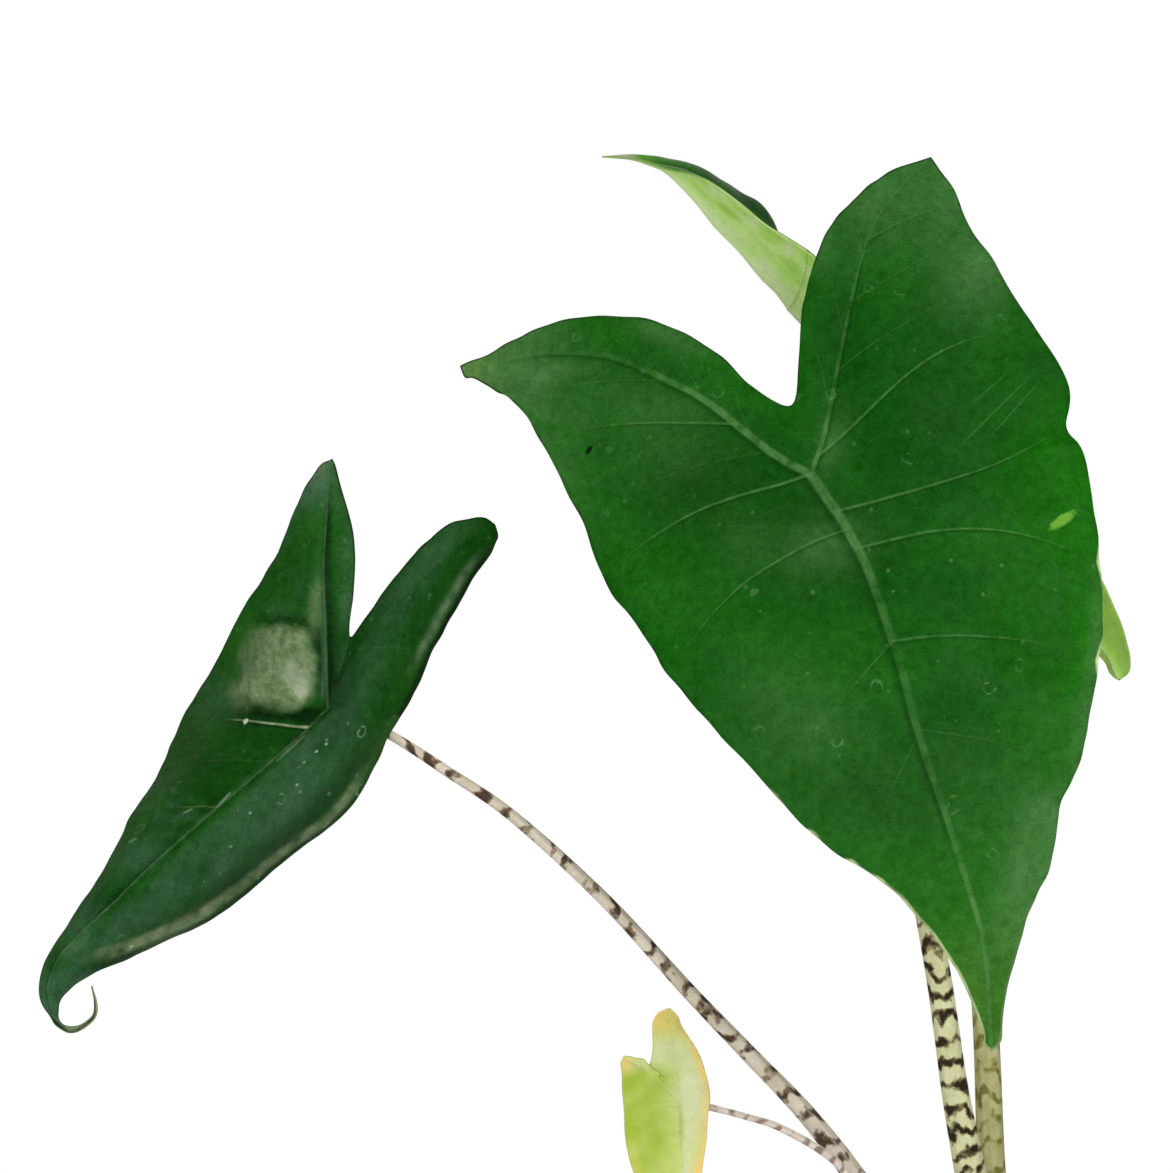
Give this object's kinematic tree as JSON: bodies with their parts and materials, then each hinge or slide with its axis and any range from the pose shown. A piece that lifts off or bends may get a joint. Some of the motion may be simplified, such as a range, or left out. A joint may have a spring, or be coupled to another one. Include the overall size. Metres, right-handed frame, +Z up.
{
  "type": "potted alocasia plant",
  "caption": "Potted arrow-leaved foliage plant with banded stalks, a broad dark leaf, a narrow curled leaf, a folded young leaf and a small yellowing leaf.",
  "frame": {"origin": "centre of the pot's flat underside, on the floor", "axes": "+Z up the plant, +Y away from the side seen in the picture, +X to that viewer's right"},
  "size_m": [0.436, 0.2295, 0.606],
  "materials": {
    "pot": "plain satin off-white ceramic",
    "potting_soil": "damp bark and peat potting mix",
    "large_leaf_blade": "satin deep green leaf",
    "large_leaf_petiole": "cream-green stalk with ragged dark bands",
    "narrow_leaf_blade": "glossy very dark green leaf",
    "narrow_leaf_petiole": "beige stalk with dark brown blotches",
    "young_leaf_blade": "pale green leaf underside, dark green inside the fold",
    "young_leaf_petiole": "olive-cream stalk with faint brown spots",
    "old_leaf_blade": "yellowing soft green leaf",
    "old_leaf_petiole": "thin yellow-green stalk"
  },
  "bodies": {
    "root": {"pot": "pot", "potting_soil": "potting_soil", "large_leaf_blade": "large_leaf_blade", "large_leaf_petiole": "large_leaf_petiole", "narrow_leaf_blade": "narrow_leaf_blade", "narrow_leaf_petiole": "narrow_leaf_petiole", "young_leaf_blade": "young_leaf_blade", "young_leaf_petiole": "young_leaf_petiole", "old_leaf_blade": "old_leaf_blade", "old_leaf_petiole": "old_leaf_petiole"}
  },
  "joints": []
}
